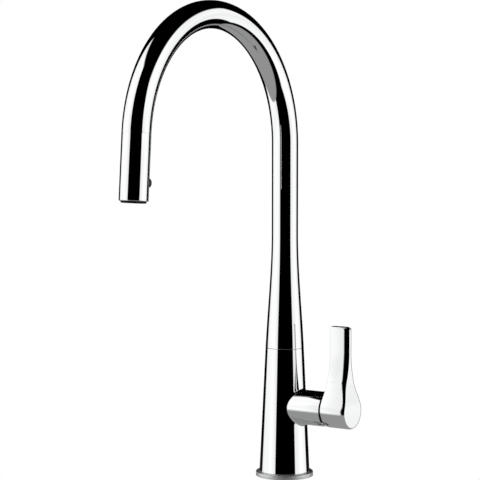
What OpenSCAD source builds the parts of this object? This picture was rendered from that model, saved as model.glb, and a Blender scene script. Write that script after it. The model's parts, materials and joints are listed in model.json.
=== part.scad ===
// Pull-down kitchen faucet with a swivelling gooseneck spout, a spray head on a hose and a side lever.
// The origin is the centre of the base flange on the deck, +Z is up, the spout reaches towards -Y and
// the lever sits on the +X side.

/* [Base] */
// Radius of the base flange
flange_r = 27.4; // [25.5:0.1:34]
// Height of the base flange
flange_h = 4.1; // [3.5:0.1:6]
// Radius of the body where it stands on the flange
body_low_r = 24; // [23:0.1:25]
// Radius of the body at the swivel seam
body_top_r = 18.25; // [17.6:0.05:21]
// Height of the swivel seam above the deck
seam_z = 123; // [118:1:150]
// Wall of the body shell
shell_wall = 2; // [1.2:0.1:2.4]

/* [Spout] */
// Outer radius of the spout tube
tube_r = 12.5; // [12:0.1:15]
// Wall of the spout tube
tube_wall = 1.3; // [0.8:0.1:1.5]
// Height where the flare has become a straight tube
flare_top_z = 232; // [200:1:260]
// Height of the arch centre
arch_z = 317.4; // [265:1:385]
// Radius of the arch, to the centre line of the tube
arch_r = 114.4; // [95:1:140]
// How far round the arch bends
arch_angle = 175.7; // [165:0.1:180]

/* [Spray head] */
// Length of the spray head below the end of the arch
head_len = 56.6; // [50:0.1:80]
// Wall of the spray head shell
head_wall = 1.2; // [0.8:0.1:1.6]
// How far the nozzle face stands out of the shell
nozzle_out = 1.6; // [0.5:0.1:4]
// Radius of the push button
button_r = 4.5; // [3.5:0.1:5]
// How far the push button stands out of the shell
button_out = 6.3; // [4.5:0.1:8]
// Distance from the shell's end to the middle of the button
button_up = 16.1; // [14:0.1:20]
// Travel of the push button
button_travel = 3; // [1:0.5:3.5]

/* [Hose] */
// Outer radius of the spray hose
hose_r = 6; // [4.5:0.1:6.3]
// Distance of the hose behind the valve, from the body's axis
hose_x = 7.4; // [7:0.1:8]

/* [Valve] */
// Height of the side boss
boss_z = 67.6; // [60:0.1:80]
// Radius of the side boss and of the lever's hub
boss_r = 16.4; // [15.8:0.1:20]
// Distance from the body's axis to the end of the boss
boss_end = 47.9; // [46:0.1:56]
// Radius of the ceramic cartridge
cartridge_r = 12.5; // [10:0.1:12.6]

/* [Lever] */
// Gap between the boss and the lever's hub
lever_gap = 1.4; // [1:0.1:3]
// Width of the lever's hub along the boss
hub_w = 26.4; // [20:0.1:32]
// Width of the lever's blade
blade_w = 20.6; // [14:0.1:24]
// Half the thickness of the blade
blade_t = 2.9; // [2:0.1:4]
// Height of the blade's top edge above the deck
blade_top = 147; // [130:1:175]
// Slope of the flanks between hub and blade, in degrees from upright
flank_angle = 19.3; // [15:0.1:25]
// Largest lift of the lever
lift_max = 10; // [6:0.5:10]

/* [Mounting] */
// Radius of the threaded shank
shank_r = 16.5; // [16:0.1:17]
// Wall of the threaded shank
shank_wall = 1.5; // [1.2:0.1:1.6]
// Length of the shank below the deck surface
shank_len = 66; // [60:1:90]
// Thickness of the deck that the faucet is clamped to
deck_t = 35; // [10:1:40]
// Radius of the clamp washer and of its gasket
washer_r = 27; // [25.5:0.5:32]

/* [Hidden] */
$fn = 96;

// Clearances, from a screw's thread to a loose gap
hair = 0.02;
running = 0.05;
seat = 0.1;
close = 0.2;
loose = 0.3;
free = 0.4;
// How far a cut runs past a face, and a length beyond any part
past = 1;
far = 100;
// Gap that shows at the swivel and at the spray head
seam_gap = 0.25;

bore_r = tube_r - tube_wall;
shell_slope = (body_top_r - body_low_r) / (seam_z - flange_h);
flare_steps = 18;

// Flange, and the foot and column of the valve manifold
plate_r = body_low_r - shell_wall - free;
plate_ring = 3.4;
plate_up = 4;
seal_r = 1;
seal_in = 3.8;
seal_mid_r = flange_r - seal_in;

foot_r = plate_r - plate_ring - close;
foot_step = 1.5;
foot_up = 20;
foot_top = flange_h + plate_up + foot_up;
socket_up = 16;
socket_top = flange_h + socket_up;
column_r = body_top_r - shell_wall - loose;
column_drop = 11;
column_top = seam_z - column_drop;
channel_room = 0.6;
channel_r = hose_r + channel_room;

// Cartridge, from its pocket out to the cover, measured along the boss
valve_wall = 1.75;
pocket_r = cartridge_r + seat;
sleeve_r = pocket_r + valve_wall;
pocket_x = 4;
nut_w = 5;
cover_w = 2.4;
cover_back = 0.3;
cover_x = boss_end - cover_back - cover_w;
nut_x = cover_x - nut_w - close;
seal_w = 1.2;
seal_step = 2.5;
cup_floor = 3;
cup_wall = 1.5;
disc_w = 3.4;
disc_x = pocket_x + seal_w + cup_floor;
turning_x = disc_x + disc_w + running;
turning_step = 0.6;
mixer_r = 5;
mixer_deep = 1.5;
way_count = 3;
way_r = 2.2;
way_ring = cartridge_r / 2 - 0.4;
carrier_x = turning_x + disc_w;
carrier_gap = 1;
carrier_end = nut_x - carrier_gap;
carrier_room = 0.35;
carrier_r = cartridge_r - cup_wall - carrier_room;
carrier_mouth = 8;
pivot_in = 10.8;
pivot_x = carrier_x + pivot_in;
pin_r = 1.5;
stem_r = 4;
stem_half = 3;
stem_back = 6;
stem_flats = 6;
stem_free = 0.6;
stem_out = 15;
stem_end = boss_end + lever_gap + stem_out;

// Threaded ports under the manifold, two for the supplies and one for the mixed water
port_r = 4;
port_len = 10;
port_side = [5, 8.4];
port_front = 10.4;
drill_r = 2;

// Swivel, a spigot on the column with two bushes in the spout's socket
spigot_room = 2.6;
spigot_in = hose_r + spigot_room;
spigot_wall = 2.9;
spigot_r = spigot_in + spigot_wall;
spigot_flange = 5.6;
spigot_up = 27;
spigot_top = seam_z + spigot_up;
washer_w = 1.5;
washer_in = 0.5;
washer_z = column_top + spigot_flange;
bush_wall = 1.5;
bush_r = spigot_r + bush_wall;
bush_h = 6;
bush_in = 2;
bush_low_z = seam_z - bush_in;
bush_high_z = spigot_top - bush_h - bush_in;
socket_wall = 1.8;
socket_r = bush_r + socket_wall;
socket_flange = 3.5;
socket_low = washer_z + washer_w + seat;
stop_z = (bush_low_z + bush_high_z + bush_h) / 2;
stop_r = 2.5;
stop_groove = 0.9;
stop_room = 0.35;
stop_sunk = 0.6;
screw_r = 1.5;
screw_head_r = 2.2;
screw_head_h = 2.5;
screw_count = 3;
screw_out = 2.4;
screw_ring = spigot_r + screw_out;
screw_deep = 8;

// Spray head, measured along its axis from the end of the arch
guide_room = 0.85;
guide_wall = 1;
guide_short = 2;
guide_fit = 0.15;
collar_h = 1.5;
neck_r = bore_r - guide_room - guide_wall - running;
neck_up = 14;
neck_bore = 5.6;
hose_nut_wall = 2;
hose_nut_r = hose_r + hose_nut_wall;
hose_nut_tail = 5;
hose_nut_way = 3;
hose_washer_h = 1.5;
valve_way = 2.6;
hose_nut_l = 10;
hose_nut_end = neck_up + hose_nut_l;
head_bore = tube_r - head_wall;
core_r = head_bore - close;
core_top = 3;
core_wall = 1.6;
nozzle_deep = 6.4;
core_end = head_len - nozzle_deep;
button_z = head_len - button_up;
button_in = 4;
lip_in = 0.35;
lip_r = head_bore - lip_in;
lip_h = 1.6;
nozzle_r = lip_r - seat;
jet_count = 12;
jet_r = 1;
jet_hole = 0.5;
jet_up = 0.6;
jet_deep = 2;
aerator_r = 7;
aerator_top = button_z + button_r + 2;
aerator_room = 0.5;
spool_r = 2.9;
spool_room = 0.5;
spool_way = spool_r + spool_room;
spool_end = 3.2;
spool_grooves = [-spool_end + 1.6, button_in + spool_end - 1.8];
groove_w = 1.4;
groove_deep = 0.6;
spring_seat = 2.2;
spring_end = head_bore - spring_seat;
button_foot = button_in + spool_end + 1.2;

// Lever
hub_mid = boss_end + lever_gap + hub_w / 2;
hub_in = boss_end + lever_gap;
relief_less = 2.5;
relief_angle = lift_max - relief_less;
grub_r = 2;
grub_in = 8;
grub_x = hub_in + grub_in;
grub_deep = 3;
plug_h = 2.4;
corner_r = 1.6;
narrow_low = 5;
narrow_high = 27;

// Mounting, under the deck
shank_room = 0.2;
gasket_h = 3;
clamp_h = 2.5;
nut_h = 10;
nut_across = 46;
jack_gap = 2;
nut_z = -deck_t - gasket_h - clamp_h - jack_gap - nut_h;
jack_r = 2.5;
jack_out = 3.5;
jack_ring = shank_r + jack_out;
jack_below = 4;
hose_wall = 2.5;
coupling_wall = 2;
coupling_r = hose_r + coupling_wall;
coupling_step = 1.2;
coupling_h = 16;
coupling_floor = 3;
coupling_drop = 18;
coupling_z = -shank_len - coupling_drop;

// Radius of the body's outside at height z, which the flare carries on from
function body_r(z) = body_low_r + shell_slope * (z - flange_h);

// Radius of the flare at height z: a cubic that leaves the body's slope and ends upright
function flare_u(z) = (z - seam_z) / (flare_top_z - seam_z);
function flare_curve(u) =
    body_top_r * (2 * u ^ 3 - 3 * u ^ 2 + 1)
    + shell_slope * (flare_top_z - seam_z) * (u ^ 3 - 2 * u ^ 2 + u)
    + tube_r * (3 * u ^ 2 - 2 * u ^ 3);
function flare_r(z) = flare_curve(flare_u(z));

function smooth(u) = u * u * (3 - 2 * u);
function ramp(a, b, v) = min(1, max(0, (v - a) / (b - a)));

// Rings of a round bar swept along points, all square to the path in the plane given by its normal
function unit(v) = v / norm(v);
function along(p, i) = unit(p[min(i + 1, len(p) - 1)] - p[max(i - 1, 0)]);
function ring_point(p, i, side, r, a) =
    p[i] + r * (cos(a) * unit(cross(along(p, i), side)) + sin(a) * unit(cross(along(p, i),
    cross(along(p, i), side))));
module swept_bar(p, r, side, sides) {
    rings = [for (i = [0 : len(p) - 1]) for (k = [0 : sides - 1])
        ring_point(p, i, side, r, 360 * k / sides)];
    walls = [for (i = [0 : len(p) - 2]) for (k = [0 : sides - 1])
        let (a = i * sides + k, b = i * sides + (k + 1) % sides)
        [a, b, b + sides, a + sides]];
    first = [for (k = [sides - 1 : -1 : 0]) k];
    last = [for (k = [0 : sides - 1]) (len(p) - 1) * sides + k];
    polyhedron(points = rings, faces = concat(walls, [first], [last]));
}

// Places its children at the end of the arch, with +Z running down the spray head
module at_tip() {
    translate([0, -arch_r, arch_z]) rotate([arch_angle, 0, 0]) translate([0, arch_r, 0]) children();
}

// Places its children on the valve's axis, with +Z running out along the boss
module at_valve() {
    translate([0, 0, boss_z]) rotate([0, 90, 0]) children();
}

module ring(outer, inner, low, high) {
    translate([0, 0, low]) difference() {
        cylinder(r = outer, h = high - low);
        translate([0, 0, -past]) cylinder(r = inner, h = high - low + 2 * past);
    }
}

module rod(r, low, high) {
    translate([0, 0, low]) cylinder(r = r, h = high - low);
}

module around(radius, count) {
    for (i = [0 : count - 1]) rotate([0, 0, 360 * i / count]) translate([radius, 0, 0]) children();
}

// ---- base and mounting ----

module base_flange() {
    color([0.78, 0.79, 0.8]) difference() {
        union() {
            rod(flange_r, 0, flange_h);
            rod(plate_r, flange_h, flange_h + plate_up);
        }
        rod(shank_r + shank_room, -past, flange_h + past);
        rod(plate_r - plate_ring, flange_h, flange_h + plate_up + past);
        ring(seal_mid_r + seal_r + seat, seal_mid_r - seal_r - seat, -past, 2 * seal_r);
    }
}

module flange_seal() {
    color([0.1, 0.1, 0.1]) rotate_extrude() translate([seal_mid_r, seal_r]) circle(r = seal_r);
}

module body_shell() {
    color([0.82, 0.83, 0.85]) difference() {
        union() {
            rod_cone(0);
            at_valve() rod(boss_r, 0, boss_end);
        }
        rod_cone(shell_wall);
        at_valve() rod(sleeve_r + seat, 0, boss_end + past);
    }
}

// The body's cone, drawn in by a wall thickness and, if it is a core, longer at both ends
module rod_cone(inset) {
    more = inset > 0 ? past : 0;
    translate([0, 0, flange_h - more])
        cylinder(r1 = body_r(flange_h - more) - inset, r2 = body_r(seam_z + more) - inset,
            h = seam_z - flange_h + 2 * more);
}

module valve_manifold() {
    color([0.78, 0.62, 0.3]) difference() {
        union() {
            rod(foot_r, flange_h, flange_h + plate_up + seat);
            rod(foot_r + foot_step, flange_h + plate_up + seat, foot_top);
            rod(column_r, foot_top, column_top);
            at_valve() rod(sleeve_r, 0, cover_x);
        }
        rod(shank_r + running, flange_h - past, socket_top);
        at_valve() rod(pocket_r, pocket_x, cover_x + past);
        for (side = [-1, 1]) translate([port_side[0], side * port_side[1], 0]) {
            rod(port_r, socket_top - past, socket_top + port_len);
            rod(drill_r, socket_top, boss_z - port_side[1]);
        }
        translate([port_front, 0, 0]) {
            rod(port_r, socket_top - past, socket_top + port_len);
            rod(drill_r, socket_top, boss_z - port_side[1]);
        }
        translate([-hose_x, 0, 0]) rod(channel_r, flange_h, column_top + past);
        hose_slot(boss_z + sleeve_r + 1, column_top + past);
        around(screw_ring, screw_count) rod(screw_r, column_top - screw_deep, column_top + past);
    }
}

// The way in which the hose leans over from behind the valve to the middle of the swivel
module hose_slot(low, high) {
    translate([-hose_x, -channel_r, low]) cube([hose_x, 2 * channel_r, high - low]);
    rod(channel_r, low, high);
}

module threaded_shank() {
    color([0.78, 0.62, 0.3]) ring(shank_r, shank_r - shank_wall, -shank_len, socket_top - seat);
}

module deck_gasket() {
    color([0.1, 0.1, 0.1]) ring(washer_r, shank_r + free, -deck_t - gasket_h, -deck_t);
}

module clamp_washer() {
    color([0.6, 0.62, 0.64])
        ring(washer_r, shank_r + free, -deck_t - gasket_h - clamp_h, -deck_t - gasket_h);
}

module shank_nut() {
    color([0.78, 0.62, 0.3]) translate([0, 0, nut_z]) difference() {
        cylinder(d = nut_across / cos(30), h = nut_h, $fn = 6);
        rod(shank_r + running, -past, nut_h + past);
        around(jack_ring, 2) rod(jack_r + running, -past, nut_h + past);
    }
}

module clamp_screws() {
    color([0.6, 0.62, 0.64]) around(jack_ring, 2) {
        rod(jack_r, nut_z - jack_below, -deck_t - gasket_h - clamp_h);
    }
}

module hose_coupling() {
    color([0.78, 0.62, 0.3]) translate([-hose_x, 0, coupling_z]) difference() {
        union() {
            cylinder(r = coupling_r, h = coupling_h / 2, $fn = 6);
            rod(coupling_r - coupling_step, coupling_h / 2, coupling_h);
        }
        rod(hose_r + seat, coupling_floor, coupling_h + past);
        rod(hose_r - hose_wall, -past, coupling_floor + past);
    }
}

// ---- valve cartridge ----

module cartridge_seal() {
    color([0.1, 0.1, 0.1]) at_valve() difference() {
        rod(cartridge_r - seal_step, pocket_x, pocket_x + seal_w);
        valve_ways(pocket_x, pocket_x + seal_w);
    }
}

// The three water ways through the parts of the cartridge
module valve_ways(low, high) {
    around(way_ring, way_count) rod(way_r, low - past, high + past);
}

module cartridge_housing() {
    color([0.9, 0.9, 0.88]) at_valve() difference() {
        rod(cartridge_r, pocket_x + seal_w, nut_x);
        rod(cartridge_r - cup_wall, disc_x, nut_x + past);
        valve_ways(pocket_x + seal_w, disc_x);
    }
}

module fixed_disc() {
    color([0.95, 0.95, 0.93]) at_valve() difference() {
        rod(cartridge_r - cup_wall - seat, disc_x, disc_x + disc_w);
        valve_ways(disc_x, disc_x + disc_w);
    }
}

module turning_disc() {
    color([0.95, 0.95, 0.93]) at_valve() difference() {
        rod(carrier_r - turning_step, turning_x, turning_x + disc_w);
        rod(mixer_r, turning_x - past, turning_x + mixer_deep);
    }
}

// Half the height that the stem sweeps at distance x from the body's axis, with room to spare
function stem_room(x) = (x - pivot_x) * tan(lift_max) + stem_r / cos(lift_max) + stem_free;

module cartridge_carrier() {
    slot_half = stem_room(carrier_end);
    color([0.88, 0.88, 0.85]) at_valve() difference() {
        rod(carrier_r, carrier_x, carrier_end);
        translate([-slot_half, -stem_half - loose, pivot_x - stem_back - 2])
            cube([2 * slot_half, 2 * (stem_half + loose), carrier_end]);
        rod(slot_half, carrier_end - carrier_mouth, carrier_end + past);
        translate([0, 0, pivot_x]) rotate([90, 0, 0]) rod(pin_r + running, -far, far);
    }
}

module lever_pin() {
    color([0.7, 0.71, 0.73]) at_valve() translate([0, 0, pivot_x]) rotate([90, 0, 0])
        rod(pin_r, turning_step - carrier_r, carrier_r - turning_step);
}

module cartridge_stem() {
    color([0.7, 0.71, 0.73]) at_valve() difference() {
        union() {
            intersection() {
                rod(stem_r, pivot_x - stem_back, carrier_end - stem_flats);
                translate([-stem_r, -stem_half, 0]) cube([2 * stem_r, 2 * stem_half, far]);
            }
            rod(stem_r, carrier_end - stem_flats, stem_end);
        }
        translate([0, 0, pivot_x]) rotate([90, 0, 0]) rod(pin_r + running, -far, far);
    }
}

module cartridge_nut() {
    color([0.78, 0.62, 0.3]) at_valve() ring(cartridge_r, stem_room(nut_x + nut_w), nut_x, nut_x + nut_w);
}

module valve_cover() {
    color([0.08, 0.08, 0.09]) at_valve()
        ring(sleeve_r, stem_room(cover_x + cover_w), cover_x, cover_x + cover_w);
}

// ---- lever ----

// Height above the hub's axis at which the straight flank would meet the blade
flank_foot = boss_r * sin(flank_angle);
flank_meet = flank_foot + (boss_r * cos(flank_angle) - blade_t) / tan(flank_angle);
flank_blend = 14;

// Half thickness of the lever at height v above its hub's axis
function blade_half(v) =
    v > flank_meet + flank_blend ? blade_t :
    v > flank_meet - flank_blend * cos(flank_angle) ? blade_t + tan(flank_angle)
        * (flank_meet + flank_blend - v) ^ 2 / (2 * flank_blend * (1 + cos(flank_angle))) :
    v > flank_foot ? blade_t + (flank_meet - v) * tan(flank_angle) :
    sqrt(boss_r ^ 2 - v ^ 2);

// The lever seen along the boss, a hub that runs up into a thin blade
module lever_side() {
    arc_steps = 40;
    rise_from = 16;
    rise_step = 3;
    top = blade_top - boss_z;
    hub = [for (i = [0 : arc_steps]) let (a = 180 - flank_angle + i * (180 + 2 * flank_angle)
        / arc_steps) [boss_r * cos(a), boss_r * sin(a)]];
    rise = [for (v = [flank_foot + rise_from : rise_step : top - rise_step]) [blade_half(v), v]];
    fall = [for (i = [len(rise) - 1 : -1 : 0]) [-rise[i][0], rise[i][1]]];
    polygon(concat(hub, rise, [[blade_t, top], [-blade_t, top]], fall));
}

// The lever seen from the front, where the blade is narrower than the hub
module lever_front() {
    top = blade_top - boss_z;
    steps = 8;
    half = blade_w / 2;
    step = (hub_w - blade_w) / 2;
    low = [for (i = [0 : steps]) let (v = narrow_low + (narrow_high - narrow_low) * i / steps)
        [half + step * (1 - smooth(i / steps)), v]];
    round = [for (a = [0 : 30 : 90])
        [half - corner_r * (1 - cos(a)), top - corner_r * (1 - sin(a))]];
    right = concat([[hub_w / 2, -boss_r - past]], low, round);
    left = [for (i = [len(right) - 1 : -1 : 0]) [-right[i][0], right[i][1]]];
    polygon(concat(right, left));
}

module handle_lever() {
    color([0.82, 0.83, 0.85]) difference() {
        translate([0, 0, boss_z]) intersection() {
            rotate([90, 0, 90]) translate([0, 0, hub_in]) linear_extrude(hub_w) lever_side();
            translate([hub_mid, far, 0]) rotate([90, 0, 0]) linear_extrude(2 * far) lever_front();
        }
        at_valve() rod(stem_r + running, hub_in - past, stem_end + seat);
        translate([grub_x, 0, 0]) rod(grub_r + running, boss_z - boss_r - past, boss_z);
        translate([hub_in, -far, boss_z]) rotate([0, -relief_angle, 0])
            translate([-far, 0, -far]) cube([far, 2 * far, far]);
    }
}

module lever_grub_screw() {
    color([0.6, 0.62, 0.64]) translate([grub_x, 0, 0])
        rod(grub_r, boss_z - boss_r + grub_deep, boss_z - stem_r - hair);
}

module index_plug() {
    color([0.1, 0.1, 0.1]) translate([grub_x, 0, boss_z - boss_r]) rod(grub_r, free, free + plug_h);
}

// ---- swivel ----

module swivel_spigot() {
    color([0.78, 0.62, 0.3]) difference() {
        union() {
            rod(column_r - seat, column_top, washer_z);
            rod(spigot_r, column_top, spigot_top);
        }
        rod(spigot_in, column_top - past, spigot_top + past);
        ring(spigot_r + past, spigot_r - stop_groove,
            stop_z - stop_r - stop_room, stop_z + stop_r + stop_room);
        around(screw_ring, screw_count) {
            rod(screw_r + running, column_top - past, washer_z + past);
            rod(screw_head_r + running, washer_z - screw_head_h - seat, washer_z + past);
        }
    }
}

module spigot_screws() {
    color([0.6, 0.62, 0.64]) around(screw_ring, screw_count) {
        rod(screw_r - hair, column_top - screw_deep + 1, washer_z - screw_head_h);
        rod(screw_head_r, washer_z - screw_head_h - seat, washer_z - seat);
    }
}

module glide_washer() {
    color([0.9, 0.9, 0.88]) ring(column_r - washer_in, spigot_r + seat, washer_z, washer_z + washer_w);
}

module lower_bush() {
    color([0.9, 0.9, 0.88]) ring(bush_r, spigot_r + running, bush_low_z, bush_low_z + bush_h);
}

module upper_bush() {
    color([0.9, 0.9, 0.88]) ring(bush_r, spigot_r + running, bush_high_z, bush_high_z + bush_h);
}

// ---- spout ----

module spout_socket() {
    flange_top = seam_z + socket_flange;
    color([0.78, 0.62, 0.3]) difference() {
        union() {
            rod(column_r - close, socket_low, seam_z);
            rod(flare_r(flange_top) - tube_wall - seat, seam_z + seam_gap, flange_top);
            rod(socket_r, socket_low, spigot_top);
        }
        rod(bush_r + running, socket_low - past, spigot_top + past);
        grub_way(stop_r + hair);
    }
}

// The grub screw's hole in the back of the spout
module grub_way(r) {
    translate([0, spigot_r, stop_z]) rotate([-90, 0, 0]) rod(r, 0, far / 4);
}

module spout_grub_screw() {
    tip = spigot_r - stop_groove + free;
    color([0.6, 0.62, 0.64]) translate([0, 0, stop_z]) rotate([-90, 0, 0])
        rod(stop_r, tip, flare_r(stop_z) - stop_sunk);
}

// Half section of the flared foot and the straight riser, drawn in by a wall thickness
module riser(inset) {
    more = inset > 0 ? past : 0;
    low = seam_z + seam_gap;
    steps = [for (i = [0 : flare_steps]) low + (flare_top_z - low) * i / flare_steps];
    wall = [for (z = steps) [flare_r(z) - inset, z]];
    foot = inset > 0 ? [[flare_r(low) - inset, low - more], [0, low - more]] : [[0, low]];
    rotate_extrude() polygon(concat([[0, arch_z], [tube_r - inset, arch_z]],
        [for (i = [flare_steps : -1 : 0]) wall[i]], foot));
}

module arch(inset, more) {
    translate([0, -arch_r, arch_z]) rotate([90, 0, 90])
        rotate_extrude(angle = arch_angle + more) translate([arch_r, 0]) circle(r = tube_r - inset);
}

module spout_tube() {
    color([0.82, 0.83, 0.85]) difference() {
        union() {
            riser(0);
            arch(0, 0);
        }
        riser(tube_wall);
        arch(tube_wall, 1);
        grub_way(stop_r + hair);
    }
}

module guide_bush() {
    color([0.15, 0.15, 0.16]) at_tip() difference() {
        union() {
            rod(bore_r - guide_room, guide_short - neck_up, 0);
            rod(bore_r - guide_fit, -collar_h, 0);
        }
        rod(neck_r + running, -neck_up, past);
    }
}

// Hose route: up behind the valve, over to the middle, up the riser and round the arch to the hose nut
hose_end = hose_nut_end + seat;
hose_straight = hose_end + 2;
nut_turn = atan(hose_straight / arch_r);
lean_up = 10.4;
lean_low = boss_z + lean_up;
lean_len = 50;
lean_high = lean_low + lean_len;
ease_turn = 45;
ring_space = 15;
lean_rings = 8;
ease_rings = 6;
nut_off = arch_r / cos(nut_turn) - arch_r;
function ease(u) = nut_off * (2 * u ^ 3 - 3 * u ^ 2 + 1)
    + hose_straight * (ease_turn - nut_turn) * PI / 180 * (u ^ 3 - 2 * u ^ 2 + u);
function arch_point(a, off) = [0, -arch_r + (arch_r + off) * cos(a), arch_z + (arch_r + off) * sin(a)];
function tip_point(w) = arch_point(arch_angle, 0) + w * [0, -sin(arch_angle), cos(arch_angle)];
hose_route = concat(
    [for (z = [coupling_z + coupling_floor + close : ring_space : lean_low - 5]) [-hose_x, 0, z]],
    [for (i = [0 : lean_rings]) let (u = i / lean_rings)
        [-hose_x * (1 - smooth(u)), 0, lean_low + lean_len * u]],
    [for (i = [1 : lean_rings]) [0, 0, lean_high + (arch_z - lean_high) * i / lean_rings]],
    [for (a = [10 : 10 : arch_angle - ease_turn - 5]) arch_point(a, 0)],
    [for (i = [ease_rings : -1 : 0]) let (u = i / ease_rings)
        arch_point(arch_angle - nut_turn - (ease_turn - nut_turn) * u, ease(u))],
    [tip_point(-hose_end)]
);

module spray_hose() {
    hose_sides = 12;
    color([0.35, 0.36, 0.38]) swept_bar(hose_route, hose_r, [1, 0.001, 0.001], hose_sides);
}

// ---- spray head ----

module spray_shell() {
    color([0.82, 0.83, 0.85]) at_tip() difference() {
        rod(tube_r, seam_gap, head_len);
        rod(head_bore, -past, head_len - lip_h);
        rod(lip_r, 0, head_len + past);
        translate([0, 0, button_z]) rotate([90, 0, 0]) rod(button_r + loose, 0, far);
    }
}

module spray_neck() {
    color([0.15, 0.15, 0.16]) at_tip() difference() {
        union() {
            rod(neck_r, -neck_up, core_top);
            rod(head_bore - seat, seam_gap + seat, core_top);
        }
        rod(neck_bore, -neck_up - past, core_top + past);
    }
}

module hose_nut() {
    color([0.7, 0.71, 0.73]) at_tip() difference() {
        union() {
            translate([0, 0, -hose_nut_end]) cylinder(r = hose_nut_r, h = hose_nut_l, $fn = 6);
            rod(neck_bore - seat, -neck_up, hose_nut_tail - neck_up);
        }
        rod(hose_nut_way, -hose_nut_end - past, far);
    }
}

module hose_washer() {
    color([0.1, 0.1, 0.1]) at_tip()
        ring(neck_bore - seat, hose_nut_way,
            hose_nut_tail - neck_up, hose_nut_tail + hose_washer_h - neck_up);
}

module check_valve() {
    color([0.2, 0.35, 0.6]) at_tip()
        ring(neck_bore - seat, valve_way, hose_nut_tail + hose_washer_h - neck_up, core_top - close);
}

module spray_core() {
    color([0.15, 0.15, 0.16]) at_tip() difference() {
        rod(core_r, core_top, core_end);
        rod(neck_bore - core_wall, core_top - past, button_z);
        rod(aerator_r + seat, aerator_top - aerator_room, core_end + past);
        translate([0, 0, button_z]) rotate([90, 0, 0]) {
            rod(button_r + loose, button_foot - button_travel - loose, far);
            rod(spool_way, -spring_end, far);
        }
    }
}

module aerator() {
    middle_r = 1.2;
    outer_r = 1;
    outer_ring = 4.2;
    outer_count = 6;
    color([0.1, 0.1, 0.1]) at_tip() difference() {
        rod(aerator_r, aerator_top, head_len + nozzle_out - jet_up);
        rod(middle_r, button_z, far);
        around(outer_ring, outer_count) rod(outer_r, button_z, far);
    }
}

module nozzle_face() {
    face = head_len + nozzle_out - jet_up;
    jet_ring = (nozzle_r + aerator_r) / 2;
    color([0.06, 0.06, 0.07]) at_tip() {
        difference() {
            ring(nozzle_r, aerator_r + seat, core_end, face);
            around(jet_ring, jet_count) rod(jet_hole, core_end + jet_deep, far);
        }
        around(jet_ring, jet_count) ring(jet_r, jet_hole, face, face + jet_up);
    }
}

// Places its children on the button's axis, with +Z running out of the shell
module at_button() {
    at_tip() translate([0, 0, button_z]) rotate([90, 0, 0]) children();
}

module diverter_button() {
    top = tube_r + button_out;
    edge = 0.8;
    color([0.06, 0.06, 0.07]) at_button() {
        rod(button_r, button_foot, top - edge);
        rod(button_r - edge, top - edge, top);
        rotate_extrude() intersection() {
            translate([button_r - edge, top - edge]) circle(r = edge);
            translate([button_r - edge, top - edge]) square(edge + past);
        }
    }
}

module diverter_spool() {
    color([0.75, 0.75, 0.73]) at_button() difference() {
        rod(spool_r, -spool_end, button_foot);
        for (z = spool_grooves) ring(spool_r + past, spool_r - groove_deep, z, z + groove_w);
    }
}

module spool_seals() {
    color([0.1, 0.1, 0.1]) at_button() {
        for (z = spool_grooves)
            ring(spool_way - hair, spool_r - groove_deep + running, z + seat, z + groove_w - seat);
    }
}

module button_spring() {
    turns = 4;
    steps = 12;
    wire = 0.35;
    coil_r = 2.2;
    low = -spring_end + wire + seat;
    high = -spool_end - wire - seat;
    path = [for (i = [0 : turns * steps]) let (a = 360 * i / steps)
        [coil_r * cos(a), coil_r * sin(a), low + (high - low) * i / (turns * steps)]];
    color([0.7, 0.71, 0.73]) at_button() swept_bar(path, wire, [0, 0, 1], 8);
}

base_flange();
flange_seal();
body_shell();
valve_manifold();
cartridge_housing();
cartridge_seal();
fixed_disc();
cartridge_nut();
valve_cover();
threaded_shank();
deck_gasket();
clamp_washer();
shank_nut();
clamp_screws();
swivel_spigot();
spigot_screws();
glide_washer();
lower_bush();
upper_bush();
hose_coupling();
spout_tube();
spout_socket();
spout_grub_screw();
guide_bush();
spray_hose();
spray_shell();
spray_neck();
hose_nut();
hose_washer();
check_valve();
spray_core();
aerator();
nozzle_face();
button_spring();
diverter_button();
diverter_spool();
spool_seals();
turning_disc();
cartridge_carrier();
lever_pin();
cartridge_stem();
handle_lever();
lever_grub_screw();
index_plug();
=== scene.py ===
import json
import math

import bpy
from mathutils import Matrix, Vector


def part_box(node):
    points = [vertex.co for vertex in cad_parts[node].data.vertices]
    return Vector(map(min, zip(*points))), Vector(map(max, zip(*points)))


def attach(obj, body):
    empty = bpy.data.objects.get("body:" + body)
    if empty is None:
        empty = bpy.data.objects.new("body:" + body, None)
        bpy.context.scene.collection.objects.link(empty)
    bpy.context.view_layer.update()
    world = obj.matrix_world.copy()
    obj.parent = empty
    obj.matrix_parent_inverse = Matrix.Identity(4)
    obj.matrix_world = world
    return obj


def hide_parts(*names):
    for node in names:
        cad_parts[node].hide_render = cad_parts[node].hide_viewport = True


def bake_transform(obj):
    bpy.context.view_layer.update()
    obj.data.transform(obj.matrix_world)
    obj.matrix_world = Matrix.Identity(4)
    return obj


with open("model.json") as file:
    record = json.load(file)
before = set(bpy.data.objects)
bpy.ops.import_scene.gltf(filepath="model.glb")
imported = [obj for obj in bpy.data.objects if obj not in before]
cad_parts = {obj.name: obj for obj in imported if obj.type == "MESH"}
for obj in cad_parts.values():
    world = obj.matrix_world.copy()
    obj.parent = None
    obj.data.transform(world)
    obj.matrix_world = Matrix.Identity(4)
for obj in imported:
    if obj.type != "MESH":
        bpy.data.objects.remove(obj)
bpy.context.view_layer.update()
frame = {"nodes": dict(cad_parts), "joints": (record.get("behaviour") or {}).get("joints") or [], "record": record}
joints = {joint["name"]: joint for joint in frame["joints"]}


def tell(stage):
    print(f"faucet: {stage}")


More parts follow.
